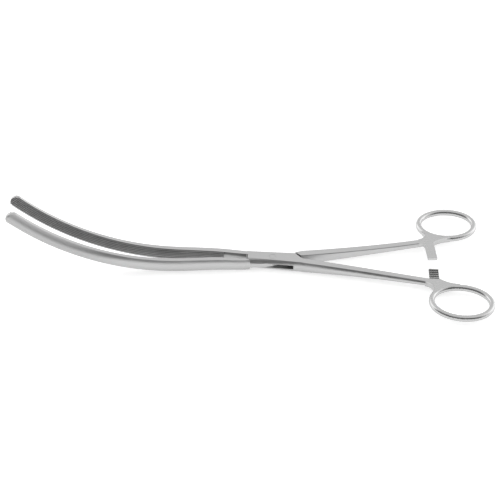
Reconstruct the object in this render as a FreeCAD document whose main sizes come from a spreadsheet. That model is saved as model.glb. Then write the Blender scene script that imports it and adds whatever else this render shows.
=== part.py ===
"""Curved intestinal clamp with a box lock, 250 mm long, in three pieces.

The clamp lies with its box on the ground: +Z is up, +X points to the finger rings, -X to the
jaws, and the origin is on the pivot axis at the underside of the box.  Each half is drawn closed,
on the box's mid-plane and mirrored about the XZ plane where the halves are alike, and then turned
open by half the rest angle.  The box half has the jaw on +Y and the ring on -Y, the insert half
the jaw on -Y and the ring on +Y, and the insert half's neck passes through the slot in the box.
"""
import os
import re
from math import pi
from typing import NamedTuple

import FreeCAD
import Part
import Sketcher
from FreeCAD import Vector

# Driving dimensions: alias, millimetres or degrees, meaning
SIZES = (
    ("rest_angle", 5.1, "angle between the halves as the clamp lies, degrees"),
    ("box_thickness", 6.5, "height of the box over both plates"),
    ("box_half_width", 3.65, "pivot axis to the box's open side, and to the insert's shoulders"),
    ("box_closed_side", 4.0, "pivot axis to the box's closed side, at the jaw"),
    ("edge_round", 0.3, "rounding of the box's flat edges"),
    ("side_crown", 0.85, "bulge of the insert's shoulder at the jaw, beyond the flat top"),
    ("closed_side_crown", 0.35, "bulge of the box's closed side and of what carries it on"),
    ("plate_crown", 1.9, "bulge of the box's open side, at its end towards the jaws"),
    ("shank_crown", 1.05, "bulge of a shank's outer side at the box"),
    ("shank_end_crown", 0.8, "bulge of a shank's outer side at the ring"),
    ("crown_skin", 0.1, "least depth that the cut of a crown takes off"),
    ("slot_height", 2.5, "height of the slot between the plates"),
    ("slot_half_length", 11.3, "pivot axis to the slot's end walls"),
    ("plate_tip_corner", 11.7, "plate end towards the jaws, at the open side"),
    ("notch_outer_corner", 11.9, "plate end towards the rings, at the open side"),
    ("notch_crotch", 15.1, "plate end towards the rings, beside the shank"),
    ("notch_crotch_side", 0.25, "distance of that crotch from the middle"),
    ("root_reach", 14.1, "pivot axis to the root of each jaw"),
    ("shoulder_gap", 0.2, "gap of the insert's shoulders to the plate ends, closed"),
    ("neck_clearance", 0.05, "gap of the neck to each plate"),
    ("neck_half_width", 3.4, "least distance of the neck's sides from the pivot axis"),
    ("neck_wall_gap", 0.3, "gap of the neck to the slot's end walls, closed"),
    ("pin_radius", 1.75, "pivot pin"),
    ("pin_clearance", 0.05, "gap of the pin in the neck's bore, on the radius"),
    ("pin_chamfer", 0.15, "chamfer on the pin's ends"),
    ("relief_side", 1.25, "face of the relief behind the serrations, from the middle"),
    ("relief_reach", 26.0, "pivot axis to where the serrations begin"),
    ("lift_length", 13.9, "length over which the jaw steps up from the box"),
    ("jaw_lift", 0.8, "height of that step"),
    ("straight_length", 22.1, "straight stretch of the jaw after the step"),
    ("jaw_radius", 123.0, "radius of the jaw's upward curve"),
    ("jaw_slope", 42.5, "slope at the jaw's tip, degrees"),
    ("jaw_root_height", 6.5, "height of the jaw at its root"),
    ("jaw_full_height", 7.1, "height of the jaw from the end of its step to its tip"),
    ("jaw_tip_width", 2.7, "thickness of the jaw at its tip"),
    ("jaw_crown", 1.15, "bulge of the jaw's back, beyond its flat top"),
    ("jaw_skin", 0.1, "depth that the serrations take off all over"),
    ("root_half_gap", 0.3, "jaw face to the middle at the root, closed"),
    ("tip_half_gap", 0.05, "jaw face to the middle at the tip, closed"),
    ("jaw_bow", 1.0, "how far each jaw is bowed out between root and tip"),
    ("ridge_pitch", 1.1, "spacing of the lengthwise ridges"),
    ("ridge_depth", 0.45, "depth of the grooves between them"),
    ("shank_start", 16.0, "pivot axis to where the shanks leave the box"),
    ("shank_end_setback", 8.9, "ring's centre back to the shank's end"),
    ("shank_start_side", 2.775, "shank's centre line from the middle at its start"),
    ("shank_end_side", 13.85, "shank's centre line from the middle at its end"),
    ("shank_start_angle", 6.5, "direction of the shank at its start, degrees"),
    ("shank_start_width", 4.85, "width of the shank at the box"),
    ("shank_end_width", 3.7, "width of the shank at the ring"),
    ("shank_end_height", 3.1, "height of the shank at the ring"),
    ("shank_start_round", 0.5, "rounding of the shank's inner edges at the box"),
    ("shank_end_round", 0.7, "rounding of the shank's inner edges at the ring"),
    ("ring_centre_reach", 97.9, "pivot axis to the ring's centre along X"),
    ("ring_centre_side", 27.3, "middle to the ring's centre"),
    ("ring_long_radius", 15.3, "half length of the ring's centre line"),
    ("ring_short_radius", 11.6, "half width of the ring's centre line"),
    ("ring_tilt", 2.0, "turn of the ring's long axis outwards, degrees"),
    ("ring_width", 3.0, "section of the ring across"),
    ("ring_height", 3.4, "section of the ring in height"),
    ("ring_round", 1.4, "rounding of the ring's section"),
    ("web_height", 3.3, "height of the web between shank, ring and ratchet"),
    ("web_cover", 1.2, "how far the web reaches over the ring's centre line"),
    ("web_ring_radius", 16.0, "hollow of the web between ratchet and ring"),
    ("web_shank_radius", 4.5, "hollow of the web between shank and ring"),
    ("web_setback", 17.7, "ring's centre back to where the web leaves the shank"),
    ("bar_setback", 15.1, "ring's centre back to the ratchet bar's side towards the box"),
    ("bar_width", 5.2, "ratchet bar across, along X"),
    ("bar_step_side", 11.2, "middle to the step where the toothed surface begins"),
    ("bar_fillet", 3.0, "fillet between the shank and the upper bar"),
    ("box_bar_end", 1.2, "end of the box half's bar, short of the middle"),
    ("insert_bar_end", 2.4, "end of the insert half's bar, past the middle"),
    ("bar_gap", 0.1, "height left between the tooth tips of the two bars"),
    ("tooth_level", 0.1, "tooth tips of the lower bar above the mid-plane"),
    ("tooth_pitch", 1.6, "spacing of the ratchet teeth"),
    ("tooth_depth", 0.65, "depth of the ratchet teeth"),
    ("tooth_land", 0.6, "bar left plain at its end"),
    ("tooth_steep_share", 0.2, "share of a tooth's pitch that its steep side takes"),
    ("bar_fillet_radius", 3.3, "radius of the fillet's arc"),
    ("bar_fillet_shift", 0.6, "end of that arc from the step"),
    ("bar_lap", 1.5, "how far a bar reaches into the web"),
    ("web_inset", 0.2, "web's outer edge inside the shank's"),
    ("tip_stock", 0.5, "stock past the jaw's tip before it is rounded"),
    ("cut_reach", 1.0, "how far cutting shapes reach past the metal"),
)
TOOTH_COUNT = 6
RIDGE_COUNT = 6
ARC_STATIONS = 6
SHANK_STATIONS = 5
BOX_JAW_SIDE = 1
INSERT_JAW_SIDE = -1

doc = FreeCAD.newDocument("clamp")
sheet = doc.addObject("Spreadsheet::Sheet", "sizes")
for row, (alias, size, meaning) in enumerate(SIZES, start=1):
    sheet.set(f"A{row}", meaning)
    sheet.set(f"B{row}", str(size))
    sheet.setAlias(f"B{row}", alias)
doc.recompute()


def sized(formula):
    """Point the size names of a formula at the sheet's cells."""
    return re.sub(r"\b[a-z]+(?:_[a-z]+)+\b", r"sizes.\g<0>", str(formula))


def worked_out(owner, formula):
    """Give the number that a formula makes with the sheet's sizes."""
    result = owner.evalExpression(sized(formula))
    return float(getattr(result, "Value", result))


def bind(owner, prop, formula):
    """Tie a property to a formula in size names."""
    owner.setExpression(prop, sized(formula))


def new_body(name):
    """Make the body of a sub-part."""
    body = doc.addObject("PartDesign::Body", name)
    body.Label = name
    return body


def new_sketch(body, name, plane, shift=("0", "0", "0"), axis=(0, 0, 1), turn="0"):
    """Put a sketch on one of the body's own planes, shifted in the sketch's frame and turned."""
    sketch = body.newObject("Sketcher::SketchObject", name)
    support = next(item for item in body.Origin.OriginFeatures if item.Role == plane)
    sketch.AttachmentSupport = [(support, "")]
    sketch.MapMode = "FlatFace"
    place = "placement(vector({}; {}; {}); rotation(vector({}; {}; {}); {}))"
    bind(sketch, "AttachmentOffset", place.format(*shift, *axis, turn))
    return sketch


def pin_point(sketch, geometry, end, corner):
    """Hold a point of a sketch at a corner given by two formulas."""
    for kind, axis, formula in (("DistanceX", -2, corner[0]), ("DistanceY", -1, corner[1])):
        if str(formula) == "0":
            sketch.addConstraint(Sketcher.Constraint("PointOnObject", geometry, end, axis))
            continue
        value = worked_out(sketch, formula)
        number = sketch.addConstraint(Sketcher.Constraint(kind, -1, 1, geometry, end, value))
        bind(sketch, f"Constraints[{number}]", formula)


def draw_outline(sketch, corners, arcs=None):
    """Draw a closed outline through corners given by formulas.

    arcs turns the side that leaves a corner into an arc: corner number -> (radius formula, hand),
    where hand is +1 for an arc whose centre lies left of the way and -1 for one on the right.
    """
    arcs = arcs or {}
    spots = [Vector(worked_out(sketch, x), worked_out(sketch, y), 0) for x, y in corners]
    ends = []
    for number, start in enumerate(spots):
        stop = spots[(number + 1) % len(spots)]
        if number not in arcs:
            geometry = sketch.addGeometry(Part.LineSegment(start, stop), False)
            ends.append((geometry, 1, 2))
            continue
        radius_formula, hand = arcs[number]
        radius = worked_out(sketch, radius_formula)
        chord = stop - start
        left = Vector(-chord.y, chord.x, 0).normalize()
        drop = max(radius ** 2 - (chord.Length / 2) ** 2, 0) ** 0.5
        centre = (start + stop) / 2 + left * hand * drop
        first, last = (start, stop) if hand > 0 else (stop, start)
        angles = [Vector(1, 0, 0).getAngle(p - centre) * (1 if p.y >= centre.y else -1)
                  for p in (first, last)]
        circle = Part.Circle(centre, Vector(0, 0, 1), radius)
        geometry = sketch.addGeometry(Part.ArcOfCircle(circle, *angles), False)
        ends.append((geometry, 1, 2) if hand > 0 else (geometry, 2, 1))
    for number, (geometry, _, end) in enumerate(ends):
        following, begin, _ = ends[(number + 1) % len(ends)]
        sketch.addConstraint(Sketcher.Constraint("Coincident", geometry, end, following, begin))
    for number, corner in enumerate(corners):
        pin_point(sketch, ends[number][0], ends[number][1], corner)
        if number in arcs:
            radius = worked_out(sketch, arcs[number][0])
            index = sketch.addConstraint(Sketcher.Constraint("Radius", ends[number][0], radius))
            bind(sketch, f"Constraints[{index}]", arcs[number][0])


def draw_rounded(sketch, near, far, half_height, radius, rounded_near=True):
    """Draw a section from near to far along the sketch's X, level about its own X axis.

    Its far corners are rounded, and its near corners too where rounded_near asks for it.
    """
    out = 1 if worked_out(sketch, f"({far}) - ({near})") > 0 else -1
    inset = f"({out}) * ({radius})"
    level = f"({half_height}) - ({radius})"
    corners = [(f"({far}) - {inset}", f"-({half_height})"), (far, f"-({level})"),
               (far, level), (f"({far}) - {inset}", half_height)]
    arcs = {0: (radius, out), 2: (radius, out)}
    if rounded_near:
        corners += [(f"({near}) + {inset}", half_height), (near, level),
                    (near, f"-({level})"), (f"({near}) + {inset}", f"-({half_height})")]
        arcs.update({4: (radius, out), 6: (radius, out)})
    else:
        corners += [(near, half_height), (near, f"-({half_height})")]
    draw_outline(sketch, corners, arcs)


def crown_radius(half_height, crown):
    """Radius of the arc that bulges by the crown between the two edges of a side."""
    return f"((pow({half_height}; 2) + pow({crown}; 2)) / (2 * {crown}))"


def draw_crowned(sketch, near, far, half_height, crown, near_round=None):
    """Draw a section whose far side bulges out in one arc from edge to edge.

    far is the side's widest place.  The near side is flat, and its corners are rounded where
    near_round gives a radius.
    """
    out = 1 if worked_out(sketch, f"({far}) - ({near})") > 0 else -1
    edge = f"({far}) - ({out}) * {crown}"
    corners = [(edge, f"-({half_height})"), (edge, half_height)]
    arcs = {0: (crown_radius(half_height, crown), out)}
    if near_round is None:
        corners += [(near, half_height), (near, f"-({half_height})")]
    else:
        inset = f"({out}) * ({near_round})"
        level = f"({half_height}) - ({near_round})"
        corners += [(f"({near}) + {inset}", half_height), (near, level),
                    (near, f"-({level})"), (f"({near}) + {inset}", f"-({half_height})")]
        arcs.update({2: (near_round, out), 4: (near_round, out)})
    draw_outline(sketch, corners, arcs)


def pad_both_ways(body, name, sketch, height):
    """Pad a sketch by a height, half of it to each side of the sketch."""
    pad = body.newObject("PartDesign::Pad", name)
    pad.Profile = sketch
    pad.SideType = "Symmetric"
    bind(pad, "Length", height)
    return pad


def cut_through(body, name, sketch):
    """Cut a sketch through everything on both its sides."""
    pocket = body.newObject("PartDesign::Pocket", name)
    pocket.Profile = sketch
    pocket.Type = "ThroughAll"
    pocket.SideType = "Symmetric"
    return pocket


def loft(body, kind, name, sections):
    """Loft smoothly through a row of section sketches."""
    feature = body.newObject(f"PartDesign::{kind}", name)
    feature.Profile = sections[0]
    feature.Sections = sections[1:]
    feature.Ruled = False
    return feature


class Station(NamedTuple):
    """A place on the jaw's middle line, as formulas."""

    reach: str
    rise: str
    slope: str
    share: str


SHANK_LENGTH = "(ring_centre_reach - shank_end_setback - shank_start)"
WEB_REACH = "(ring_centre_reach - web_setback)"
BAR_START = "(ring_centre_reach - bar_setback)"
JAW_LENGTH = "(lift_length + straight_length + jaw_radius * jaw_slope * pi / 180)"
ARC_REACH = "(root_reach + lift_length + straight_length)"


def arc_station(number):
    """Give a station on the jaw's upward curve, evenly spaced by angle."""
    slope = f"(jaw_slope * {number} / {ARC_STATIONS})"
    run = f"(lift_length + straight_length + jaw_radius * {slope} * pi / 180)"
    return Station(f"({ARC_REACH} + jaw_radius * sin({slope}))",
                   f"(jaw_lift + jaw_radius * (1 - cos({slope})))",
                   slope, f"({run} / {JAW_LENGTH})")


def tip_station(further):
    """Give a station straight on from the end of the curve."""
    return Station(f"({ARC_REACH} + jaw_radius * sin(jaw_slope) + ({further}) * cos(jaw_slope))",
                   f"(jaw_lift + jaw_radius * (1 - cos(jaw_slope)) + ({further}) * sin(jaw_slope))",
                   "jaw_slope", "1")


def straight_station(reach, rise="jaw_lift", slope="0"):
    """Give a station on the step or the straight stretch of the jaw."""
    return Station(f"({reach})", f"({rise})", slope, f"((({reach}) - root_reach) / {JAW_LENGTH})")


def jaw_face(share):
    """Distance of the jaw's face from the middle: bowed out between root and tip."""
    return (f"(tip_half_gap + (root_half_gap - tip_half_gap) * (1 - {share})"
            f" + jaw_bow * sin(180 * pow({share}; 0.75)))")


def between(root, tip, share):
    """Change a size evenly from the root to the tip."""
    return f"({root} + ({tip} - {root}) * {share})"


def station_sketch(body, name, station):
    """Put a sketch square to the jaw's middle line: its X is +Y, its Y is the jaw's upward side."""
    shift = ("0", station.rise, f"-{station.reach}")
    return new_sketch(body, name, "YZ_Plane", shift, (1, 0, 0), station.slope)


def jaw_section(body, number, station, side, root_side, root_crown):
    """Draw one section of the jaw: flat towards the other jaw, bulging at the back."""
    sketch = station_sketch(body, f"jaw_section_{number}", station)
    face = jaw_face(station.share)
    width = between(f"({root_side} - root_half_gap)", "jaw_tip_width", station.share)
    crown = between(root_crown, "jaw_crown", f"sin(90 * {station.share})")
    grown = f"min({station.share} * {JAW_LENGTH} / (lift_length + straight_length); 1)"
    half_height = f"({between('jaw_root_height', 'jaw_full_height', grown)} / 2)"
    draw_crowned(sketch, f"{side} * ({face} - jaw_skin)", f"{side} * ({face} + {width})",
                 half_height, crown)
    return sketch


def ridge_section(body, number, station, side):
    """Draw one section of what is cut away between the lengthwise ridges.

    The insert's ridges stand half a pitch away from the box half's, so that they mesh.
    """
    sketch = station_sketch(body, f"ridge_section_{number}", station)
    face = jaw_face(station.share)
    crest = f"{side} * {face}"
    valley = f"{side} * ({face} + ridge_depth)"
    clear = f"{side} * ({face} - 3 * cut_reach)"
    starts_low = side == BOX_JAW_SIDE
    steps = 2 * RIDGE_COUNT + 1
    heights = [f"{step - RIDGE_COUNT} * ridge_pitch / 2" for step in range(steps)]
    corners = []
    for step, height in enumerate(heights):
        is_valley = (step % 2 == 0) == starts_low
        corners.append((valley if is_valley else crest, height if step != RIDGE_COUNT else "0"))
    outside = "jaw_root_height"
    corners.append((corners[-1][0], outside))
    corners.append((clear, outside))
    corners.append((clear, f"-{outside}"))
    corners.append((corners[0][0], f"-{outside}"))
    draw_outline(sketch, corners)
    return sketch


def make_jaw(body, side, root_side, root_crown):
    """Build a jaw: lofted, rounded at the tip, ridged, and relieved next to the box."""
    tip_radius = "(jaw_full_height / 2)"
    step_end = straight_station("root_reach + lift_length")
    curve = [arc_station(number) for number in range(ARC_STATIONS + 1)]
    half_way = straight_station("root_reach + lift_length / 2", "jaw_lift / 2",
                                "atan(1.5 * jaw_lift / lift_length)")
    stations = [straight_station("root_reach", "0"), half_way, step_end, *curve]
    stations.append(tip_station(f"{tip_radius} + tip_stock"))
    loft(body, "AdditiveLoft", "jaw",
         [jaw_section(body, number, station, side, root_side, root_crown)
          for number, station in enumerate(stations)])

    tip = tip_station("0")
    face = f"({side} * (tip_half_gap - jaw_skin - cut_reach))"
    back = f"({side} * (tip_half_gap + jaw_tip_width))"
    shoulder = f"({side} * (tip_half_gap + jaw_tip_width - jaw_crown))"
    beyond = f"({side} * (tip_half_gap + jaw_tip_width + cut_reach))"
    outside = f"-{tip_radius} - 3 * cut_reach"
    rounder = new_sketch(body, "tip_rounder", "XY_Plane", (f"-{tip.reach}", "0", tip.rise),
                         (0, 1, 0), "jaw_slope")
    draw_outline(rounder,
                 [(f"-{tip_radius}", face), (f"-{tip_radius}", shoulder),
                  (f"jaw_crown - {tip_radius}", back), (f"jaw_crown - {tip_radius}", beyond),
                  (outside, beyond), (outside, face)],
                 {1: ("jaw_crown", -side)})
    groove = body.newObject("PartDesign::Groove", "tip_round")
    groove.Profile = rounder
    groove.ReferenceAxis = (rounder, ["V_Axis"])
    groove.Angle = 180
    groove.Midplane = True

    ridged = [straight_station("relief_reach - tip_stock"), step_end, *curve]
    ridged.append(tip_station(f"{tip_radius} + 3 * tip_stock"))
    loft(body, "SubtractiveLoft", "ridges",
         [ridge_section(body, number, station, side) for number, station in enumerate(ridged)])

    relief = new_sketch(body, "relief_outline", "XY_Plane")
    relief_end = "cut_reach - root_reach"
    other_side = f"{-side} * cut_reach"
    draw_outline(relief, [("-relief_reach", other_side), (relief_end, other_side),
                          (relief_end, f"{side} * relief_side"),
                          ("-relief_reach", f"{side} * relief_side")])
    cut_through(body, "relief", relief)


def shank_side(run):
    """Distance of the shank's centre line from the middle, a run along X after its start."""
    start = f"shank_start_side + {run} * tan(shank_start_angle)"
    bend = (f"(shank_end_side - shank_start_side - {SHANK_LENGTH} * tan(shank_start_angle))"
            f" * pow({run} / {SHANK_LENGTH}; 2)")
    return f"({start} + {bend})"


def make_shank(body, side):
    """Build a shank, from the box's full height down to the slender end in the ring's web."""
    sections = []
    for number in range(SHANK_STATIONS + 1):
        share = f"({number} / {SHANK_STATIONS})"
        run = f"({SHANK_LENGTH} * {share})"
        sketch = new_sketch(body, f"shank_section_{number}", "YZ_Plane",
                            ("0", "0", f"shank_start + {run}"))
        half_width = f"({between('shank_start_width', 'shank_end_width', share)} / 2)"
        eased = f"sin(90 * {share})"
        half_height = f"({between('box_thickness', 'shank_end_height', eased)} / 2)"
        draw_crowned(sketch, f"{side} * ({shank_side(run)} - {half_width})",
                     f"{side} * ({shank_side(run)} + {half_width})", half_height,
                     between("shank_crown", "shank_end_crown", share),
                     between("shank_start_round", "shank_end_round", share))
        sections.append(sketch)
    loft(body, "AdditiveLoft", "shank", sections)


def half_oval(body, name, side, first_angle):
    """Draw half of the ring's centre line, an ellipse turned outwards, from a given angle on."""
    oval = new_sketch(body, name, "XY_Plane",
                      ("ring_centre_reach", f"{side} * ring_centre_side", "0"),
                      (0, 0, 1), f"{side} * ring_tilt")
    long_radius = worked_out(oval, "ring_long_radius")
    short_radius = worked_out(oval, "ring_short_radius")
    ellipse = Part.Ellipse(Vector(long_radius, 0, 0), Vector(0, short_radius, 0), Vector(0, 0, 0))
    arc = oval.addGeometry(Part.ArcOfEllipse(ellipse, first_angle, first_angle + pi), False)
    oval.exposeInternalGeometry(arc)
    long_axis, short_axis = arc + 1, arc + 2
    oval.addConstraint(Sketcher.Constraint("Coincident", arc, 3, -1, 1))
    for geometry, end in ((long_axis, 1), (arc, 1), (arc, 2)):
        oval.addConstraint(Sketcher.Constraint("PointOnObject", geometry, end, -1))
    for line, radius in ((long_axis, "ring_long_radius"), (short_axis, "ring_short_radius")):
        length = worked_out(oval, f"2 * {radius}")
        number = oval.addConstraint(Sketcher.Constraint("Distance", line, length))
        bind(oval, f"Constraints[{number}]", f"2 * {radius}")
    return oval


def make_ring(body, side):
    """Sweep the finger ring's section along both halves of its oval centre line."""
    section = new_sketch(body, "ring_section", "XZ_Plane",
                         ("ring_centre_reach + ring_long_radius * cos(ring_tilt)", "0",
                          f"-({side}) * (ring_centre_side + ring_long_radius * sin(ring_tilt))"),
                         (0, 1, 0), f"{side} * ring_tilt")
    draw_rounded(section, "-ring_width / 2", "ring_width / 2", "ring_height / 2", "ring_round")
    for name, first_angle in (("ring_far_half", 0), ("ring_near_half", pi)):
        sweep = body.newObject("PartDesign::AdditivePipe", name)
        sweep.Profile = section
        sweep.Spine = (half_oval(body, f"{name}_path", side, first_angle), [])


def ring_point(side, turn, outwards):
    """Give a point beside the ring's centre line, turned from the ring's end towards the box."""
    return (f"ring_centre_reach - (ring_long_radius + ({outwards})) * cos({turn})",
            f"{side} * (ring_centre_side - (ring_short_radius + ({outwards})) * sin({turn}))")


def make_web(body, side):
    """Pad the flat web that joins the shank, the ring and the ratchet bar."""
    web = new_sketch(body, "web_outline", "XY_Plane")
    shank_run = f"({WEB_REACH} - shank_start)"
    outer_side = f"{side} * ({shank_side(shank_run)} + shank_end_width / 2 - web_inset)"
    inner_side = f"{side} * {shank_side(shank_run)}"
    bar_end = f"{BAR_START} + bar_width"
    draw_outline(web,
                 [(WEB_REACH, inner_side), (BAR_START, f"{side} * bar_step_side"),
                  (bar_end, f"{side} * bar_step_side"), ring_point(side, "90", "web_cover"),
                  ring_point(side, "90", "0"), ring_point(side, "55", "0"),
                  ring_point(side, "20", "0"), ring_point(side, "30", "web_cover"),
                  (WEB_REACH, outer_side)],
                 {2: ("web_ring_radius", -side), 7: ("web_shank_radius", -side)})
    pad_both_ways(body, "web", web, "web_height")


def make_bar(body, side, end_side, low, high, teeth_up, fillet):
    """Pad a ratchet bar between two levels and cut its row of saw teeth."""
    bar = new_sketch(body, "bar_outline", "XY_Plane", ("0", "0", low))
    bar_end = f"{BAR_START} + bar_width"
    root = f"{side} * (bar_step_side + bar_lap)"
    corners = [(BAR_START, root), (BAR_START, end_side), (bar_end, end_side), (bar_end, root)]
    arcs = {}
    if fillet:
        reach = f"({BAR_START} - bar_fillet)"
        shank_edge = f"({shank_side(f'({reach} - shank_start)')} - shank_end_width / 2)"
        corners[0] = (BAR_START, f"{side} * (bar_step_side - bar_fillet_shift - bar_fillet)")
        corners = [(reach, f"{side} * ({shank_edge} + web_inset)"), *corners]
        corners.append((reach, f"{side} * ({shank_edge} + web_inset + bar_lap)"))
        arcs = {0: ("bar_fillet_radius", -side)}
    draw_outline(bar, corners, arcs)
    pad = body.newObject("PartDesign::Pad", "ratchet_bar")
    pad.Profile = bar
    bind(pad, "Length", f"({high}) - ({low})")

    tips, roots = (high, f"({high}) - tooth_depth") if teeth_up else (low, f"({low}) + tooth_depth")
    clear = f"({high}) + cut_reach" if teeth_up else f"({low}) - cut_reach"
    inward = f"({side})"
    first = f"({end_side}) + {inward} * tooth_land"
    tooth = new_sketch(body, "tooth_gap", "YZ_Plane", ("0", "0", f"{BAR_START} - cut_reach"))
    steep = f"{first} + {inward} * tooth_pitch * tooth_steep_share"
    draw_outline(tooth, [(first, clear), (first, tips), (steep, roots),
                         (f"{first} + {inward} * tooth_pitch", tips),
                         (f"{first} + {inward} * tooth_pitch", clear)])
    gap = body.newObject("PartDesign::Pocket", "tooth_gap_cut")
    gap.Profile = tooth
    gap.Reversed = True
    bind(gap, "Length", "bar_width + 2 * cut_reach")
    row = body.newObject("PartDesign::LinearPattern", "ratchet_teeth")
    row.Originals = [gap]
    row.Direction = (tooth, ["H_Axis"])
    row.Reversed = side < 0
    row.Occurrences = TOOTH_COUNT
    bind(row, "Length", f"tooth_pitch * {TOOTH_COUNT - 1}")
    body.Tip = row


def round_outline(body, base):
    """Round the edges of the box's top and bottom, but not where the jaw and the shank join on."""
    doc.recompute()
    level = worked_out(body, "box_thickness / 2")
    joins = (-worked_out(body, "root_reach"), worked_out(body, "shank_start"))
    names = []
    for number, edge in enumerate(base.Shape.Edges, start=1):
        flat = all(abs(abs(vertex.Z) - level) < 1e-6 for vertex in edge.Vertexes)
        on_join = any(all(abs(vertex.X - join) < 1e-6 for vertex in edge.Vertexes) for join in joins)
        if flat and not on_join:
            names.append(f"Edge{number}")
    rounding = body.newObject("PartDesign::Fillet", "box_edges")
    rounding.Base = (base, names)
    bind(rounding, "Radius", "edge_round")


def crown_cut(body, name, ends):
    """Cut a side of the box or of a shoulder into one long bulge from its top to its bottom.

    ends holds two places along the side: its X, the side's distance from the middle with its sign,
    that sign, and the bulge there.
    """
    half_height = "(box_thickness / 2)"
    reach = f"({half_height} + edge_round)"
    sections = []
    for number, (place, edge, side, crown) in enumerate(ends):
        sketch = new_sketch(body, f"{name}_section_{number}", "YZ_Plane", ("0", "0", place))
        radius = crown_radius(half_height, crown)
        inset = f"({radius} - sqrt(pow({radius}; 2) - pow({reach}; 2)) + crown_skin)"
        near = f"({edge}) - ({side}) * {inset}"
        outside = f"({edge}) + ({side}) * cut_reach"
        draw_outline(sketch, [(near, f"-{reach}"), (near, reach), (outside, reach),
                              (outside, f"-{reach}")], {0: (radius, side)})
        sections.append(sketch)
    loft(body, "SubtractiveLoft", name, sections)


def pivot_circle(body, name, radius):
    """Draw a circle on the pivot axis."""
    sketch = new_sketch(body, name, "XY_Plane")
    size = worked_out(sketch, radius)
    circle = sketch.addGeometry(Part.Circle(Vector(0, 0, 0), Vector(0, 0, 1), size), False)
    sketch.addConstraint(Sketcher.Constraint("Coincident", circle, 3, -1, 1))
    number = sketch.addConstraint(Sketcher.Constraint("Radius", circle, size))
    bind(sketch, f"Constraints[{number}]", radius)
    return sketch


def turn_open(body, hand):
    """Stand the half on its box and turn it open by half the rest angle."""
    turn = f"rotation(vector(0; 0; 1); {hand} * rest_angle / 2)"
    bind(body, "Placement", f"placement(vector(0; 0; box_thickness / 2); {turn})")


SHANK_OUTSIDE = "(shank_start_side + shank_start_width / 2)"
SHANK_INSIDE = "(shank_start_side - shank_start_width / 2)"


def make_box_half():
    """Build the half that carries the box: two plates about the slot for the other half's neck."""
    body = new_body("box_half")
    outline = new_sketch(body, "box_outline", "XY_Plane")
    draw_outline(outline, [("-root_reach", "box_closed_side"), ("-root_reach", "relief_side"),
                           ("-plate_tip_corner", "-box_half_width"),
                           ("shank_start", f"-{SHANK_OUTSIDE}"), ("shank_start", f"-{SHANK_INSIDE}"),
                           ("notch_crotch", "notch_crotch_side"),
                           ("notch_outer_corner", "box_half_width")])
    round_outline(body, pad_both_ways(body, "box", outline, "box_thickness"))
    crown_cut(body, "open_side_crown",
              [("-plate_tip_corner - cut_reach", "-box_half_width", -1, "plate_crown"),
               ("shank_start", f"-{SHANK_OUTSIDE}", -1, "shank_crown")])

    clear = "(2 * root_reach)"
    slot = new_sketch(body, "slot_outline", "XY_Plane")
    draw_outline(slot, [(f"-{clear}", f"-{clear}"), ("slot_half_length", f"-{clear}"),
                        ("slot_half_length", "0"), (clear, "0"), (clear, clear),
                        ("-slot_half_length", clear), ("-slot_half_length", "0"), (f"-{clear}", "0")])
    pocket = body.newObject("PartDesign::Pocket", "slot")
    pocket.Profile = slot
    pocket.SideType = "Symmetric"
    bind(pocket, "Length", "slot_height")
    cut_through(body, "pin_hole", pivot_circle(body, "pin_hole_circle", "pin_radius"))

    make_jaw(body, BOX_JAW_SIDE, "box_closed_side", "closed_side_crown")
    make_shank(body, -BOX_JAW_SIDE)
    make_web(body, -BOX_JAW_SIDE)
    make_ring(body, -BOX_JAW_SIDE)
    make_bar(body, -BOX_JAW_SIDE, "-box_bar_end", "-web_height / 2", "tooth_level", True, False)
    turn_open(body, -1)
    return body


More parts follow.
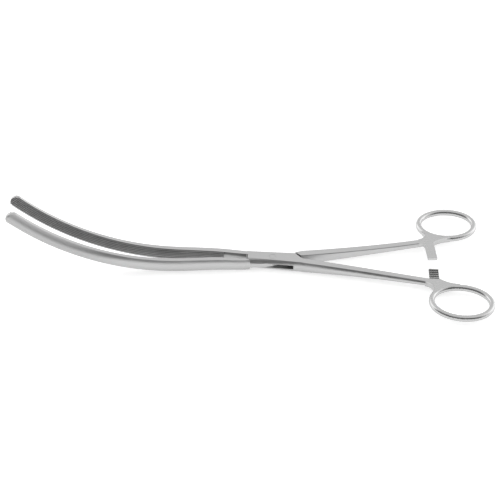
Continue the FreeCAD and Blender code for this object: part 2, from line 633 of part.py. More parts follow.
def make_insert_half():
    """Build the half whose thin neck passes through the box and turns on the pin."""
    body = new_body("insert_half")
    neck = new_sketch(body, "neck_outline", "XY_Plane")
    wall = "(slot_half_length - neck_wall_gap)"
    corner = "(plate_tip_corner + shoulder_gap)"
    draw_outline(neck, [("-root_reach", "-relief_side"), (f"-{wall}", "-neck_wall_gap / 2"),
                        ("0", "neck_half_width"),
                        ("notch_outer_corner + shoulder_gap", "box_half_width"),
                        ("shank_start", SHANK_OUTSIDE), ("shank_start", SHANK_INSIDE),
                        ("notch_crotch + shoulder_gap", SHANK_INSIDE), (wall, "neck_wall_gap / 2"),
                        ("0", "-neck_half_width"), (f"-{corner}", "-box_half_width"),
                        ("-root_reach", "-box_half_width")])
    pad_both_ways(body, "neck", neck, "slot_height - 2 * neck_clearance")

    shoulders = new_sketch(body, "shoulder_outlines", "XY_Plane")
    lean = "((root_reach - plate_tip_corner) / (relief_side + box_half_width))"
    crotch = f"(root_reach - 2 * relief_side * {lean} + shoulder_gap)"
    draw_outline(shoulders, [("-root_reach", "-relief_side"), (f"-{crotch}", "-relief_side"),
                             (f"-{corner}", "-box_half_width"), ("-root_reach", "-box_half_width")])
    draw_outline(shoulders, [("notch_crotch + shoulder_gap", SHANK_INSIDE),
                             ("shank_start", SHANK_INSIDE), ("shank_start", SHANK_OUTSIDE),
                             ("notch_outer_corner + shoulder_gap", "box_half_width")])
    round_outline(body, pad_both_ways(body, "shoulders", shoulders, "box_thickness"))
    crown_cut(body, "jaw_shoulder_crown",
              [("-root_reach - cut_reach", "-box_half_width", -1, "side_crown"),
               ("-plate_tip_corner", "-box_half_width", -1, "side_crown")])
    crown_cut(body, "shank_shoulder_crown",
              [("notch_outer_corner", "box_half_width", 1, "closed_side_crown"),
               ("shank_start", SHANK_OUTSIDE, 1, "shank_crown")])
    cut_through(body, "pin_bore",
                pivot_circle(body, "pin_bore_circle", "pin_radius + pin_clearance"))

    make_jaw(body, INSERT_JAW_SIDE, "box_half_width", "side_crown")
    make_shank(body, -INSERT_JAW_SIDE)
    make_web(body, -INSERT_JAW_SIDE)
    make_ring(body, -INSERT_JAW_SIDE)
    make_bar(body, -INSERT_JAW_SIDE, "-insert_bar_end", "tooth_level + bar_gap", "web_height / 2",
             False, True)
    turn_open(body, 1)
    return body


def make_pivot_pin():
    """Build the pin, pressed into both plates and ground flush with their faces."""
    body = new_body("pivot_pin")
    pad = body.newObject("PartDesign::Pad", "pin")
    pad.Profile = pivot_circle(body, "pin_circle", "pin_radius")
    bind(pad, "Length", "box_thickness")
    doc.recompute()
    chamfer = body.newObject("PartDesign::Chamfer", "pin_ends")
    rims = [f"Edge{number}" for number, edge in enumerate(pad.Shape.Edges, start=1)
            if isinstance(edge.Curve, Part.Circle)]
    chamfer.Base = (pad, rims)
    bind(chamfer, "Size", "pin_chamfer")
    return body


def check(bodies):
    """Stop if anything failed to build, so that no broken piece is written."""
    for item in doc.Objects:
        if {"Invalid", "Error"} & set(item.State):
            raise RuntimeError(f"{item.Name} failed: {item.State}")
    for body in bodies:
        shape = body.Shape
        if shape.isNull() or not shape.isValid() or len(shape.Solids) != 1:
            raise RuntimeError(f"{body.Label} is not one valid solid")


bodies = [make_box_half(), make_insert_half(), make_pivot_pin()]
doc.recompute()
check(bodies)
os.makedirs("parts", exist_ok=True)
for body in bodies:
    body.Shape.exportStep(f"parts/{body.Label}.step")
    box = body.Shape.BoundBox
    print(f"{body.Label}: {body.Shape.Volume:.1f} mm3, x {box.XMin:.2f} to {box.XMax:.2f}, "
          f"y {box.YMin:.2f} to {box.YMax:.2f}, z {box.ZMin:.2f} to {box.ZMax:.2f}")
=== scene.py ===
"""Looks of the curved intestinal clamp: satin stainless steel on a pale studio floor.

Everything is in metres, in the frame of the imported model: +X runs to the finger rings, -X along
the jaws, +Z up, and the origin lies on the pivot axis at the underside of the box.
"""
import logging
import math
from dataclasses import dataclass
from enum import Enum

import bpy
import numpy as np
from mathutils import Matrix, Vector


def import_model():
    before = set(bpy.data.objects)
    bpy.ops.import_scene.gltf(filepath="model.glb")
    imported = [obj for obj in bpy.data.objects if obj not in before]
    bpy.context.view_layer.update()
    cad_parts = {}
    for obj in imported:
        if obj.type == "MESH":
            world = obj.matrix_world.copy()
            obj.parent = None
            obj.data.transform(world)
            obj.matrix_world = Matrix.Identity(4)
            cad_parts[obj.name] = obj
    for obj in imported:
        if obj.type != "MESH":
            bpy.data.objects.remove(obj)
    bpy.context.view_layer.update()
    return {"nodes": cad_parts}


log = logging.getLogger("intestinal_clamp")

MM = 0.001
# Side of the square photograph, pixels.
IMAGE_SIDE = 500
# Width of the camera's sensor, millimetres as Blender takes it.
SENSOR_WIDTH = 36.0

Tree = bpy.types.NodeTree
Socket = bpy.types.NodeSocket


def linear(colour: str) -> tuple[float, float, float, float]:
    """Turn an sRGB hex colour into the linear values that a shader takes.

    The curve is the sRGB standard's: a straight foot, and above it a power of 2.4.

    Args:
        colour: Six hex digits after a hash sign.

    Returns:
        Linear red, green and blue, and an alpha of 1.
    """
    shares = np.array([int(colour[i:i + 2], 16) for i in (1, 3, 5)]) / 255
    values = np.where(shares <= 0.04045, shares / 12.92, ((shares + 0.055) / 1.055) ** 2.4)
    return (*values.tolist(), 1.0)


def add_node(tree: Tree, kind: str, inputs: dict | None = None, **settings: object
             ) -> bpy.types.Node:
    """Add a node with its settings and inputs.

    Args:
        tree: The node tree that gets the node.
        kind: The node's type name.
        inputs: Input socket name or number to its value, or to the output socket that feeds it.
        **settings: The node's own properties.

    Returns:
        The new node.
    """
    node = tree.nodes.new(kind)
    for name, setting in settings.items():
        setattr(node, name, setting)
    for name, value in (inputs or {}).items():
        if isinstance(value, Socket):
            tree.links.new(value, node.inputs[name])
        else:
            node.inputs[name].default_value = value
    return node


class FaceSide(Enum):
    """The way that a jaw's ridged face looks, as the sign of Y."""

    MINUS_Y = -1.0
    PLUS_Y = 1.0


@dataclass(frozen=True)
class JawForm:
    """Where a jaw's ridged face and its rounded back lie, for the painted light and shade on the
    face and for what the steel shows on the back.

    Attributes:
        face_side: Which way the ridged face looks.
        crest_shift: Share of a pitch from the middle line to the nearest crest.
        facing_share: Least share of Y in the normal of a surface of the face or of the back.
        ridges_end: X where the ridges stop short of the box, metres.
        box_start: X where the box or the neck begins, metres.
        bend_start: X where the jaw begins to curve upward, metres.
        bend_radius: Radius of that curve, metres.
        level: Height of the middle line before the curve, metres.
        ridge_pitch: Spacing of the lengthwise ridges, metres.
        painted_crest_highlight: sRGB colour of the painted highlight on the ridges' crests.
        painted_groove_shade: sRGB colour of the painted shade in the grooves between them.
        relief_top: Height of the upper corner of the milled relief behind the ridges, metres.
        relief_fall: How far that corner comes down per metre towards the box.
        relief_fade: How far below and above that height the painted shade of the corner begins
        and is full, metres.
        painted_corner_shade: sRGB colour of the painted shade in that corner.
        painted_relief_light: sRGB colour of the painted light on the relief below the corner.
        back_start: X from which the back gets rounder towards the tip, metres.
        back_full: X where it is fully round, metres.
        back_curve: Curvature that is added there to the back, 1 / metres.
        back_roughness: Roughness that is added there to the back.
    """

    face_side: FaceSide
    crest_shift: float
    facing_share: float = 0.35
    ridges_end: float = -26.0 * MM
    box_start: float = -14.0 * MM
    bend_start: float = -50.1 * MM
    bend_radius: float = 123.0 * MM
    level: float = 4.05 * MM
    ridge_pitch: float = 1.1 * MM
    # Painted highlight on the ridges' crests and painted shade in the grooves.
    painted_crest_highlight: str = "#F4F4F4"
    painted_groove_shade: str = "#909090"
    relief_top: float = 6.2 * MM
    relief_fall: float = 0.11
    relief_fade: tuple[float, float] = (-1.2 * MM, 0.2 * MM)
    # Painted shade on the relief's upper corner and painted light on the relief below it.
    painted_corner_shade: str = "#868686"
    painted_relief_light: str = "#D2D2D2"
    back_start: float = -70.0 * MM
    back_full: float = -110.0 * MM
    back_curve: float = 170.0
    back_roughness: float = 0.22

    def across(self, tree: Tree, place: Socket) -> Socket:
        """Measure the height above the jaw's middle line, square to that line.

        Before the bend that is Z less the level. Along the bend it is the bend's radius less the
        distance to the bend's centre.

        Args:
            tree: The material's node tree.
            place: The place on the object, metres.

        Returns:
            The socket that holds the height, metres.
        """
        parts = add_node(tree, "ShaderNodeSeparateXYZ", {0: place})
        past = add_node(tree, "ShaderNodeMath", {0: parts.outputs["X"], 1: self.bend_start},
                        operation="SUBTRACT")
        along = add_node(tree, "ShaderNodeMath", {0: past.outputs[0], 1: 0.0},
                         operation="MINIMUM")
        under = add_node(tree, "ShaderNodeMath",
                         {0: self.level + self.bend_radius, 1: parts.outputs["Z"]},
                         operation="SUBTRACT")
        arm = add_node(tree, "ShaderNodeCombineXYZ", {0: along.outputs[0], 1: under.outputs[0]})
        distance = add_node(tree, "ShaderNodeVectorMath", {0: arm.outputs[0]}, operation="LENGTH")
        return add_node(tree, "ShaderNodeMath",
                        {0: self.bend_radius, 1: distance.outputs["Value"]},
                        operation="SUBTRACT").outputs[0]

    def looks(self, tree: Tree, towards_face: bool) -> Socket:
        """Tell which surfaces look towards the other jaw, or away from it.

        Args:
            tree: The material's node tree.
            towards_face: True for the ridged face, False for the back.

        Returns:
            The socket that is 1 on those surfaces and 0 elsewhere.
        """
        normal = add_node(tree, "ShaderNodeTexCoord").outputs["Normal"]
        parts = add_node(tree, "ShaderNodeSeparateXYZ", {0: normal})
        sign = self.face_side.value if towards_face else -self.face_side.value
        signed = add_node(tree, "ShaderNodeMath", {0: parts.outputs["Y"], 1: sign},
                          operation="MULTIPLY")
        return add_node(tree, "ShaderNodeMath", {0: signed.outputs[0], 1: self.facing_share},
                        operation="GREATER_THAN").outputs[0]

    def ridge_colour(self, tree: Tree, place: Socket) -> Socket:
        """Paint a highlight on the crests of the ridges and shade in the grooves between them.

        The colour follows the distance to the nearest crest, which is half a pitch at most.

        Args:
            tree: The material's node tree.
            place: The place on the object, metres.

        Returns:
            The socket that holds the colour.
        """
        waves = add_node(tree, "ShaderNodeMath",
                         {0: self.across(tree, place), 1: self.ridge_pitch}, operation="DIVIDE")
        shifted = add_node(tree, "ShaderNodeMath", {0: waves.outputs[0], 1: self.crest_shift},
                           operation="SUBTRACT")
        depth = add_node(tree, "ShaderNodeMath", {0: shifted.outputs[0], 1: 0.5},
                         operation="PINGPONG")
        share = add_node(tree, "ShaderNodeMapRange",
                         {"Value": depth.outputs[0], "From Min": 0.0, "From Max": 0.5,
                          "To Min": 0.0, "To Max": 1.0})
        return add_node(tree, "ShaderNodeMix",
                        {"Factor": share.outputs[0], "A": linear(self.painted_crest_highlight),
                         "B": linear(self.painted_groove_shade)}, data_type="RGBA").outputs["Result"]

    def relief_colour(self, tree: Tree, parts: bpy.types.Node) -> Socket:
        """Paint shade on the upper corner of the milled relief between the ridges and the box,
        and light on the relief below it.

        Args:
            tree: The material's node tree.
            parts: The node that gives X, Y and Z of the place on the object, metres.

        Returns:
            The socket that holds the colour.
        """
        fall = add_node(tree, "ShaderNodeMath", {0: parts.outputs["X"], 1: self.relief_fall},
                        operation="MULTIPLY")
        raised = add_node(tree, "ShaderNodeMath", {0: fall.outputs[0], 1: parts.outputs["Z"]},
                          operation="ADD")
        corner = self.relief_top + self.relief_fall * self.ridges_end
        below, above = self.relief_fade
        share = add_node(tree, "ShaderNodeMapRange",
                         {"Value": raised.outputs[0], "From Min": corner + below,
                          "From Max": corner + above, "To Min": 0.0, "To Max": 1.0},
                         interpolation_type="SMOOTHSTEP")
        return add_node(tree, "ShaderNodeMix",
                        {"Factor": share.outputs[0], "A": linear(self.painted_relief_light),
                         "B": linear(self.painted_corner_shade)}, data_type="RGBA").outputs["Result"]

    def face_colour(self, tree: Tree, place: Socket, plain: Socket) -> Socket:
        """Colour the jaw's face with painted light and shade, on the ridges first and on the
        milled relief behind them.

        Args:
            tree: The material's node tree.
            place: The place on the object, metres.
            plain: The colour of the steel elsewhere.

        Returns:
            The socket that holds the colour.
        """
        parts = add_node(tree, "ShaderNodeSeparateXYZ", {0: place})
        relief = add_node(tree, "ShaderNodeMath", {0: parts.outputs["X"], 1: self.ridges_end},
                          operation="GREATER_THAN")
        # Painted light and shade: highlights and shade on the ridges, and the relief's shaded
        # corner.
        milled = add_node(tree, "ShaderNodeMix",
                          {"Factor": relief.outputs[0], "A": self.ridge_colour(tree, place),
                           "B": self.relief_colour(tree, parts)}, data_type="RGBA")
        jaw = add_node(tree, "ShaderNodeMath", {0: parts.outputs["X"], 1: self.box_start},
                       operation="LESS_THAN")
        where = add_node(tree, "ShaderNodeMath", {0: jaw.outputs[0], 1: self.looks(tree, True)},
                         operation="MULTIPLY")
        return add_node(tree, "ShaderNodeMix",
                        {"Factor": where.outputs[0], "A": plain, "B": milled.outputs["Result"]},
                        data_type="RGBA").outputs["Result"]

    def along_back(self, tree: Tree, place: Socket, full: float) -> Socket:
        """Let a value grow along the jaw's back towards the tip, and be 0 off the back.

        Args:
            tree: The material's node tree.
            place: The place on the object, metres.
            full: The value at the tip.

        Returns:
            The socket that holds the value.
        """
        parts = add_node(tree, "ShaderNodeSeparateXYZ", {0: place})
        grown = add_node(tree, "ShaderNodeMapRange",
                         {"Value": parts.outputs["X"], "From Min": self.back_start,
                          "From Max": self.back_full, "To Min": 0.0, "To Max": full},
                         interpolation_type="SMOOTHSTEP")
        return add_node(tree, "ShaderNodeMath",
                        {0: grown.outputs[0], 1: self.looks(tree, False)},
                        operation="MULTIPLY").outputs[0]

    def round_back(self, tree: Tree, place: Socket) -> Socket:
        """Give the height of the extra roundness that the polishing left on the back.

        It is half the curvature times the squared distance from the middle line, downwards.

        Args:
            tree: The material's node tree.
            place: The place on the object, metres.

        Returns:
            The socket that holds the height, metres.
        """
        height = self.across(tree, place)
        square = add_node(tree, "ShaderNodeMath", {0: height, 1: height}, operation="MULTIPLY")
        curve = self.along_back(tree, place, -self.back_curve / 2)
        return add_node(tree, "ShaderNodeMath", {0: square.outputs[0], 1: curve},
                        operation="MULTIPLY").outputs[0]


@dataclass(frozen=True)
class BarForm:
    """Where the teeth of a ratchet bar lie, for the painted highlight and shade on them.

    Attributes:
        tips: Height of the tooth tips, metres.
        roots: Height of the tooth roots, metres.
        start: X of the bar's side towards the box, metres.
        end: X of the bar's side towards the rings, metres.
        slack: How far past tips and roots a surface still counts as toothed, metres.
        facing_share: Least share of Z in the normal of a toothed surface.
        painted_tip_highlight: sRGB colour of the painted highlight on the tooth tips.
        painted_root_shade: sRGB colour of the painted shade in the roots.
    """

    tips: float
    roots: float
    start: float = 82.0 * MM
    end: float = 89.0 * MM
    slack: float = 0.05 * MM
    facing_share: float = 0.2
    # Painted highlight on the tooth tips and painted shade in the roots.
    painted_tip_highlight: str = "#FFFFFF"
    painted_root_shade: str = "#A6A6A6"

    def between(self, tree: Tree, value: Socket, low: float, high: float) -> Socket:
        """Tell where a value lies between two limits.

        Args:
            tree: The material's node tree.
            value: The value.
            low: The lower limit.
            high: The upper limit.

        Returns:
            The socket that is 1 between the limits and 0 elsewhere.
        """
        return add_node(tree, "ShaderNodeMath",
                        {0: value, 1: (low + high) / 2, 2: (high - low) / 2},
                        operation="COMPARE").outputs[0]

    def toothed(self, tree: Tree, parts: bpy.types.Node) -> Socket:
        """Tell which surfaces belong to the teeth.

        Args:
            tree: The material's node tree.
            parts: The node that gives X, Y and Z of the place on the object, metres.

        Returns:
            The socket that is 1 on the teeth and 0 elsewhere.
        """
        normal = add_node(tree, "ShaderNodeTexCoord").outputs["Normal"]
        facing = add_node(tree, "ShaderNodeSeparateXYZ", {0: normal})
        heights = sorted((self.roots, self.tips))
        shares = (self.facing_share, 1.0) if self.tips > self.roots else (-1.0, -self.facing_share)
        where = self.between(tree, parts.outputs["X"], self.start, self.end)
        for step in (self.between(tree, parts.outputs["Z"], heights[0] - self.slack,
                                  heights[1] + self.slack),
                     self.between(tree, facing.outputs["Z"], *shares)):
            where = add_node(tree, "ShaderNodeMath", {0: where, 1: step},
                             operation="MULTIPLY").outputs[0]
        return where

    def colour(self, tree: Tree, place: Socket, plain: Socket) -> Socket:
        """Paint a highlight on the tips of the teeth and shade towards their roots.

        Args:
            tree: The material's node tree.
            place: The place on the object, metres.
            plain: The colour of the steel elsewhere.

        Returns:
            The socket that holds the colour.
        """
        parts = add_node(tree, "ShaderNodeSeparateXYZ", {0: place})
        share = add_node(tree, "ShaderNodeMapRange",
                         {"Value": parts.outputs["Z"], "From Min": self.roots,
                          "From Max": self.tips, "To Min": 0.0, "To Max": 1.0})
        teeth = add_node(tree, "ShaderNodeMix",
                         {"Factor": share.outputs[0], "A": linear(self.painted_root_shade),
                          "B": linear(self.painted_tip_highlight)}, data_type="RGBA")
        return add_node(tree, "ShaderNodeMix",
                        {"Factor": self.toothed(tree, parts), "A": plain,
                         "B": teeth.outputs["Result"]}, data_type="RGBA").outputs["Result"]


@dataclass(frozen=True)
class SatinSteel:
    """Martensitic stainless steel, forged, belt polished and then brought to a satin sheen.

    To the eye it is a soft grey mirror: reflections are blurred, with faint marks that run the way
    the belt went and a slightly uneven sheen where the hand polishing went over it longer.

    Attributes:
        name: The finish's name.
        colour: sRGB colour of the metal.
        tint: Least share of that colour, in the dullest places.
        roughness: Mean roughness of the reflection.
        unevenness: How far the roughness wanders to each side.
        mark_spacing: Distance between polishing marks, metres. Real marks of a 240 grit belt are
            0.06 mm apart, too fine for the picture, so these are drawn coarser.
        mark_depth: Depth of the marks, metres.
        mark_stretch: Scale of the marks on X, Y and Z, small where they run long.
        mark_detail: Layers of finer noise in the marks.
        mark_gain: Strength of each layer as a share of the one before.
        patch_size: Size of the patches of uneven sheen, metres.
        patch_detail: Layers of finer noise in the patches.
        patch_gain: Strength of each of those as a share of the one before.
        noise_span: The values between which nearly all of a noise pattern lies.
        ring_start: X where the handled part begins to be smoother, metres.
        ring_full: X where it is smoothest, metres.
        ring_polish: How much roughness long use has taken off the finger rings.
        jaw: The jaw that is part of the piece.
        bar: The ratchet bar that is part of the piece.
    """

    name: str
    colour: str = "#C6C6C6"
    tint: float = 0.94
    roughness: float = 0.37
    unevenness: float = 0.05
    mark_spacing: float = 0.35 * MM
    mark_depth: float = 0.0015 * MM
    mark_stretch: tuple[float, float, float] = (0.06, 1.0, 1.0)
    mark_detail: float = 3.0
    mark_gain: float = 0.6
    patch_size: float = 9.0 * MM
    patch_detail: float = 2.0
    patch_gain: float = 0.5
    noise_span: tuple[float, float] = (0.3, 0.7)
    ring_start: float = 70.0 * MM
    ring_full: float = 86.0 * MM
    ring_polish: float = 0.13
    jaw: JawForm | None = None
    bar: BarForm | None = None

    def marks(self, tree: Tree, place: Socket) -> Socket:
        """Draw the marks of the belt, long on X and fine across.

        Args:
            tree: The material's node tree.
            place: The place on the object, metres.

        Returns:
            The socket that holds the marks' height, as a share of their depth.
        """
        along = add_node(tree, "ShaderNodeMapping", {"Vector": place, "Scale": self.mark_stretch})
        return add_node(tree, "ShaderNodeTexNoise",
                        {"Vector": along.outputs[0], "Scale": 1 / self.mark_spacing,
                         "Detail": self.mark_detail,
                         "Roughness": self.mark_gain}).outputs[0]

    def sheen(self, tree: Tree, place: Socket, marks: Socket) -> Socket:
        """Mix the marks half and half with broad patches, as hand polishing leaves them.

        Args:
            tree: The material's node tree.
            place: The place on the object, metres.
            marks: The marks' height.

        Returns:
            The socket that holds the unevenness, mostly inside the noise span.
        """
        patches = add_node(tree, "ShaderNodeTexNoise",
                           {"Vector": place, "Scale": 1 / self.patch_size,
                            "Detail": self.patch_detail, "Roughness": self.patch_gain})
        halves = [add_node(tree, "ShaderNodeMath", {0: pattern, 1: 0.5}, operation="MULTIPLY")
                  for pattern in (marks, patches.outputs[0])]
        return add_node(tree, "ShaderNodeMath",
                        {0: halves[0].outputs[0], 1: halves[1].outputs[0]},
                        operation="ADD").outputs[0]

    def metal_colour(self, tree: Tree, place: Socket, sheen: Socket) -> Socket:
        """Tint the metal by the sheen, and paint light and shade on the jaw's face and teeth.

        Args:
            tree: The material's node tree.
            place: The place on the object, metres.
            sheen: The unevenness of the polish.

        Returns:
            The socket that holds the colour.
        """
        low, high = self.noise_span
        tint = add_node(tree, "ShaderNodeMapRange",
                        {"Value": sheen, "From Min": low, "From Max": high,
                         "To Min": self.tint, "To Max": 1.0})
        metal = add_node(tree, "ShaderNodeMix",
                         {"Factor": 1.0, "A": linear(self.colour), "B": tint.outputs[0]},
                         data_type="RGBA", blend_type="MULTIPLY")
        colour = metal.outputs["Result"]
        if self.bar is not None:
            colour = self.bar.colour(tree, place, colour)
        if self.jaw is not None:
            colour = self.jaw.face_colour(tree, place, colour)
        return colour

    def dullness(self, tree: Tree, place: Socket, sheen: Socket) -> Socket:
        """Give the roughness: uneven, less on the finger rings, more on the back of the jaw.

        Args:
            tree: The material's node tree.
            place: The place on the object, metres.
            sheen: The unevenness of the polish.

        Returns:
            The socket that holds the roughness.
        """
        low, high = self.noise_span
        mean = add_node(tree, "ShaderNodeMapRange",
                        {"Value": sheen, "From Min": low, "From Max": high,
                         "To Min": self.roughness - self.unevenness,
                         "To Max": self.roughness + self.unevenness})
        parts = add_node(tree, "ShaderNodeSeparateXYZ", {0: place})
        polish = add_node(tree, "ShaderNodeMapRange",
                          {"Value": parts.outputs["X"], "From Min": self.ring_start,
                           "From Max": self.ring_full, "To Min": 0.0,
                           "To Max": -self.ring_polish}, interpolation_type="SMOOTHSTEP")
        rough = add_node(tree, "ShaderNodeMath", {0: mean.outputs[0], 1: polish.outputs[0]},
                         operation="ADD").outputs[0]
        if self.jaw is None:
            return rough
        back = self.jaw.along_back(tree, place, self.jaw.back_roughness)
        return add_node(tree, "ShaderNodeMath", {0: rough, 1: back}, operation="ADD").outputs[0]

    def surface_normal(self, tree: Tree, place: Socket, marks: Socket) -> Socket:
        """Press the marks into the surface, and round the back of the jaw.

        Args:
            tree: The material's node tree.
            place: The place on the object, metres.
            marks: The marks' height.

        Returns:
            The socket that holds the normal.
        """
        inputs = {"Height": marks, "Strength": 1.0, "Distance": self.mark_depth}
        if self.jaw is not None:
            rounded = add_node(tree, "ShaderNodeBump",
                               {"Height": self.jaw.round_back(tree, place), "Strength": 1.0,
                                "Distance": 1.0})
            inputs["Normal"] = rounded.outputs[0]
        return add_node(tree, "ShaderNodeBump", inputs).outputs[0]

    def build(self) -> bpy.types.Material:
        """Make the material from its nodes."""
        material = bpy.data.materials.new(self.name)
        material.use_nodes = True
        tree = material.node_tree
        tree.nodes.clear()
        place = add_node(tree, "ShaderNodeTexCoord").outputs["Object"]
        marks = self.marks(tree, place)
        sheen = self.sheen(tree, place, marks)
        surface = add_node(tree, "ShaderNodeBsdfPrincipled",
                           {"Metallic": 1.0, "Base Color": self.metal_colour(tree, place, sheen),
                            "Roughness": self.dullness(tree, place, sheen),
                            "Normal": self.surface_normal(tree, place, marks)})
        add_node(tree, "ShaderNodeOutputMaterial", {"Surface": surface.outputs[0]})
        return material


@dataclass
class SteelPiece:
    """One steel piece of the clamp, whose solid already has its whole shape.

    Attributes:
        node: The piece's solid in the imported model.
        finish: Its steel.
    """

    node: str
    finish: SatinSteel

    def dress(self, nodes: dict[str, bpy.types.Object]) -> bpy.types.Object:
        """Give the solid its finish.

        Args:
            nodes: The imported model's solids by name.

        Returns:
            The dressed solid.
        """
        piece = nodes[self.node]
        material = self.finish.build()
        for slot in piece.material_slots:
            slot.material = material
        return piece


@dataclass(frozen=True)
class OpalAcrylic:
    """The top of a light table: white acrylic, cast opal and sanded, and lit from below.

    To the eye it is an even white with no highlight, on which shadows stay soft and pale.

    Attributes:
        colour: sRGB colour under the light that falls on it.
        glow: Light that it gives off, 1 being white.
        roughness: Roughness of the sanded top.
        gloss: Strength of the little reflection that the sanding leaves.
    """

    colour: str = "#E6E6E6"
    glow: float = 0.56
    roughness: float = 0.9
    gloss: float = 0.1

    def build(self) -> bpy.types.Material:
        """Make the material."""
        material = bpy.data.materials.new("light_table_of_opal_acrylic")
        material.use_nodes = True
        surface = material.node_tree.nodes["Principled BSDF"]
        surface.inputs["Base Color"].default_value = linear(self.colour)
        surface.inputs["Roughness"].default_value = self.roughness
        surface.inputs["Specular IOR Level"].default_value = self.gloss
        surface.inputs["Emission Color"].default_value = (1.0, 1.0, 1.0, 1.0)
        surface.inputs["Emission Strength"].default_value = self.glow
        return material


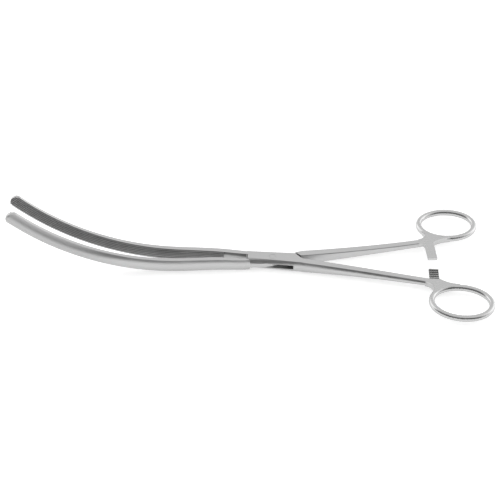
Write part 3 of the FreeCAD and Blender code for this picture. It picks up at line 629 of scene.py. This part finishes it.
@dataclass
class Studio:
    """A floor that glows like a light table, a dark room in front, and the photograph's camera.

    The walls' brightness follows the direction seen, a unit vector.

    Attributes:
        target: The point that the camera looks at, metres.
        azimuth: Turn of the camera round the object, degrees, 0 looking along +Y.
        elevation: Height of the camera above the horizon, degrees.
        distance: Camera to target, metres.
        focal_pixels: Focal length in pixels of the photograph.
        floor_side: Side of the floor, metres.
        pale_level: Brightness of the walls behind and overhead, 1 being white.
        dark_level: Brightness of the room in front.
        dark_turn: Share of X that is added to Y, which turns the dark room sideways.
        dark_span: That sum where the room begins to get dark, and where it is darkest.
        dark_top: Z where the dark room begins below the ceiling, and where it is darkest.
        screen_level: Brightness that the two side screens add.
        screen_span: X to either side where a screen begins, and where it is brightest.
        screen_depth: Y where a screen begins, and where it is brightest.
    """

    target: tuple[float, float, float] = (-12.08 * MM, 9.04 * MM, 3.25 * MM)
    azimuth: float = 0.72
    elevation: float = 40.0
    distance: float = 575 * MM
    focal_pixels: float = 1063.75
    floor_side: float = 16.0
    pale_level: float = 0.92
    dark_level: float = 0.14
    dark_turn: float = 0.3
    dark_span: tuple[float, float] = (0.0, -0.5)
    dark_top: tuple[float, float] = (0.95, 0.7)
    screen_level: float = 0.9
    screen_span: tuple[float, float] = (0.4, 0.8)
    screen_depth: tuple[float, float] = (-0.3, 0.2)

    def towards_camera(self) -> Vector:
        """Give the unit vector from the target to the camera."""
        turn, rise = math.radians(self.azimuth), math.radians(self.elevation)
        return Vector((math.sin(turn) * math.cos(rise), -math.cos(turn) * math.cos(rise),
                       math.sin(rise)))

    def set_camera(self) -> bpy.types.Object:
        """Put the camera where the photograph was taken from."""
        data = bpy.data.cameras.new("camera")
        data.sensor_width = SENSOR_WIDTH
        data.lens = self.focal_pixels * SENSOR_WIDTH / IMAGE_SIDE
        data.clip_start = 10 * MM
        camera = bpy.data.objects.new("camera", data)
        bpy.context.scene.collection.objects.link(camera)
        back = self.towards_camera()
        camera.location = Vector(self.target) + back * self.distance
        camera.rotation_mode = "QUATERNION"
        camera.rotation_quaternion = (-back).to_track_quat("-Z", "Y")
        bpy.context.scene.camera = camera
        return camera

    def lay_floor(self) -> bpy.types.Object:
        """Lay the glowing, matt floor that the box rests on."""
        half = self.floor_side / 2
        mesh = bpy.data.meshes.new("floor")
        mesh.from_pydata([(-half, -half, 0), (half, -half, 0), (half, half, 0), (-half, half, 0)],
                         [], [(0, 1, 2, 3)])
        floor = bpy.data.objects.new("floor", mesh)
        bpy.context.scene.collection.objects.link(floor)
        mesh.materials.append(OpalAcrylic().build())
        return floor

    def dark_room(self, tree: Tree, parts: bpy.types.Node) -> Socket:
        """Tell where the dark room lies: on the camera's side and below the ceiling.

        Args:
            tree: The world's node tree.
            parts: The node that gives X, Y and Z of the direction seen.

        Returns:
            The socket that is 1 in the dark room and 0 elsewhere.
        """
        sideways = add_node(tree, "ShaderNodeMath", {0: parts.outputs["X"], 1: self.dark_turn},
                            operation="MULTIPLY")
        facing = add_node(tree, "ShaderNodeMath",
                          {0: parts.outputs["Y"], 1: sideways.outputs[0]}, operation="ADD")
        return self.overlap(tree, (facing.outputs[0], *self.dark_span),
                         (parts.outputs["Z"], *self.dark_top))

    def side_screens(self, tree: Tree, parts: bpy.types.Node) -> Socket:
        """Tell where the two bright screens stand: to the left and right, behind the object.

        Args:
            tree: The world's node tree.
            parts: The node that gives X, Y and Z of the direction seen.

        Returns:
            The socket that is 1 on the screens and 0 elsewhere.
        """
        beside = add_node(tree, "ShaderNodeMath", {0: parts.outputs["X"]}, operation="ABSOLUTE")
        return self.overlap(tree, (beside.outputs[0], *self.screen_span),
                         (parts.outputs["Y"], *self.screen_depth))

    def overlap(self, tree: Tree, *steps: tuple[Socket, float, float]) -> Socket:
        """Multiply smooth steps, so that the result is 1 only where each one is.

        Args:
            tree: The world's node tree.
            *steps: For each step its value, where it is 0 and where it is 1.

        Returns:
            The socket that holds the product.
        """
        first, second = (add_node(tree, "ShaderNodeMapRange",
                                  {"Value": value, "From Min": start, "From Max": end,
                                   "To Min": 0.0, "To Max": 1.0},
                                  interpolation_type="SMOOTHSTEP").outputs[0]
                         for value, start, end in steps)
        return add_node(tree, "ShaderNodeMath", {0: first, 1: second},
                        operation="MULTIPLY").outputs[0]

    def surround(self) -> bpy.types.World:
        """Make the studio's walls: pale behind and overhead, dark on the camera's side."""
        world = bpy.data.worlds.new("studio_walls")
        world.use_nodes = True
        tree = world.node_tree
        tree.nodes.clear()
        seen = add_node(tree, "ShaderNodeTexCoord").outputs["Generated"]
        parts = add_node(tree, "ShaderNodeSeparateXYZ", {0: seen})
        walls = add_node(tree, "ShaderNodeMapRange",
                         {"Value": self.dark_room(tree, parts), "From Min": 0.0, "From Max": 1.0,
                          "To Min": self.pale_level, "To Max": self.dark_level})
        screens = add_node(tree, "ShaderNodeMath",
                           {0: self.side_screens(tree, parts), 1: self.screen_level},
                           operation="MULTIPLY")
        level = add_node(tree, "ShaderNodeMath", {0: walls.outputs[0], 1: screens.outputs[0]},
                         operation="ADD")
        light = add_node(tree, "ShaderNodeBackground",
                         {"Color": level.outputs[0], "Strength": 1.0})
        add_node(tree, "ShaderNodeOutputWorld", {"Surface": light.outputs[0]})
        bpy.context.scene.world = world
        return world

    def build(self) -> None:
        """Set up the camera, the floor and the light."""
        self.set_camera()
        self.lay_floor()
        self.surround()
        scene = bpy.context.scene
        scene.view_settings.view_transform = "Standard"
        scene.view_settings.look = "None"


def steel_pieces() -> tuple[SteelPiece, ...]:
    """List the clamp's three pieces, each with its steel."""
    box_half = SatinSteel("satin_steel_box_half", jaw=JawForm(FaceSide.MINUS_Y, 0.5),
                          bar=BarForm(tips=3.35 * MM, roots=2.7 * MM))
    insert_half = SatinSteel("satin_steel_insert_half", jaw=JawForm(FaceSide.PLUS_Y, 0.0),
                             bar=BarForm(tips=3.45 * MM, roots=4.1 * MM))
    return (SteelPiece("box_half", box_half),
            SteelPiece("insert_half", insert_half),
            SteelPiece("pivot_pin", SatinSteel("satin_steel_pin")))


def main() -> None:
    """Load the frame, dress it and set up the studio."""
    logging.basicConfig(level=logging.INFO, format="%(name)s: %(message)s")
    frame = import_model()

    Studio().build()
    for steel_piece in steel_pieces():
        piece = steel_piece.dress(frame["nodes"])
        log.info("%s: %d faces, %s", piece.name, len(piece.data.polygons),
                 steel_piece.finish.name)


if __name__ == "__main__":
    main()
